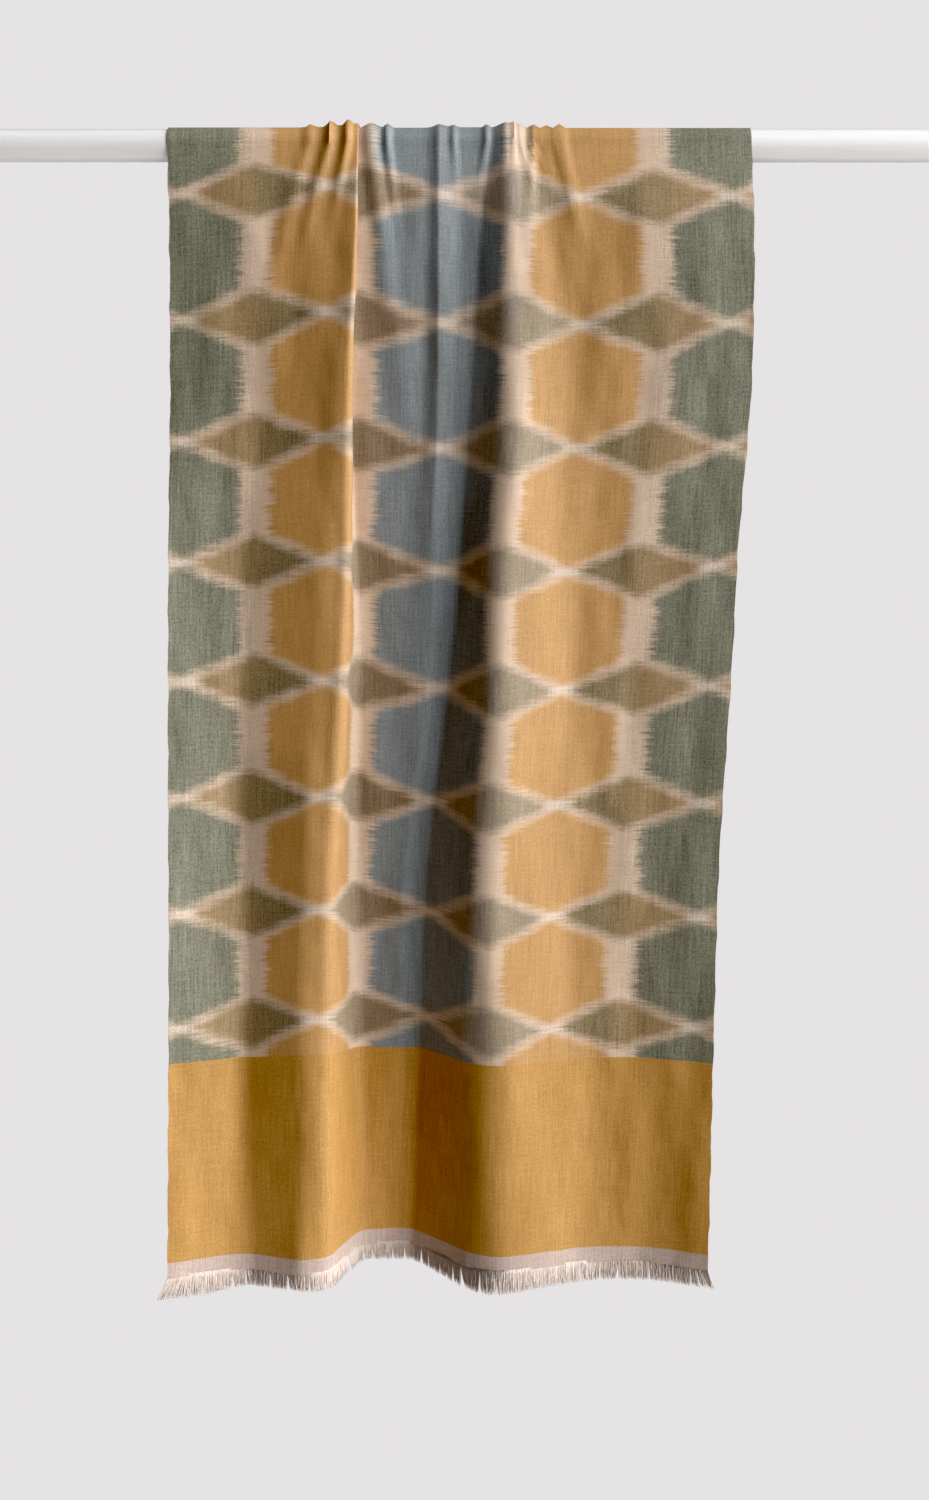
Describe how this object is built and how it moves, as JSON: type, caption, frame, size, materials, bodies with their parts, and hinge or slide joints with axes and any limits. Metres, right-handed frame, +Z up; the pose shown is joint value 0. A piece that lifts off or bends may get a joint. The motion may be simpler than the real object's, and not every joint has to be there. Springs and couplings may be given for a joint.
{
  "type": "stole on a rail",
  "caption": "Long woven ikat stole hung over a straight round rail, long end in front, short end behind, with plain bands and fringed ends.",
  "frame": {"origin": "middle of the rail's axis, where a bracket, wire or stand would hold it up", "axes": "+X along the rail to the right as seen from the front, -Y towards the viewer, +Z up"},
  "size_m": [1.2, 0.1819, 1.323],
  "materials": {
    "rail_paint": "satin white paint",
    "ikat_cloth": "fine plain weave, feathered ikat in green, gold, blue-grey and beige",
    "gold_cloth": "fine plain weave, one gold colour with light slubs",
    "pale_yarn": "undyed pinkish beige yarn, matt"
  },
  "bodies": {
    "root": {"rail": "rail_paint", "field_over_rail": "ikat_cloth", "field_front": "ikat_cloth", "field_back": "ikat_cloth", "band_front": "gold_cloth", "band_back": "gold_cloth", "heading_front": "pale_yarn", "heading_back": "pale_yarn", "fringe_front": "pale_yarn", "fringe_back": "pale_yarn"}
  },
  "joints": []
}
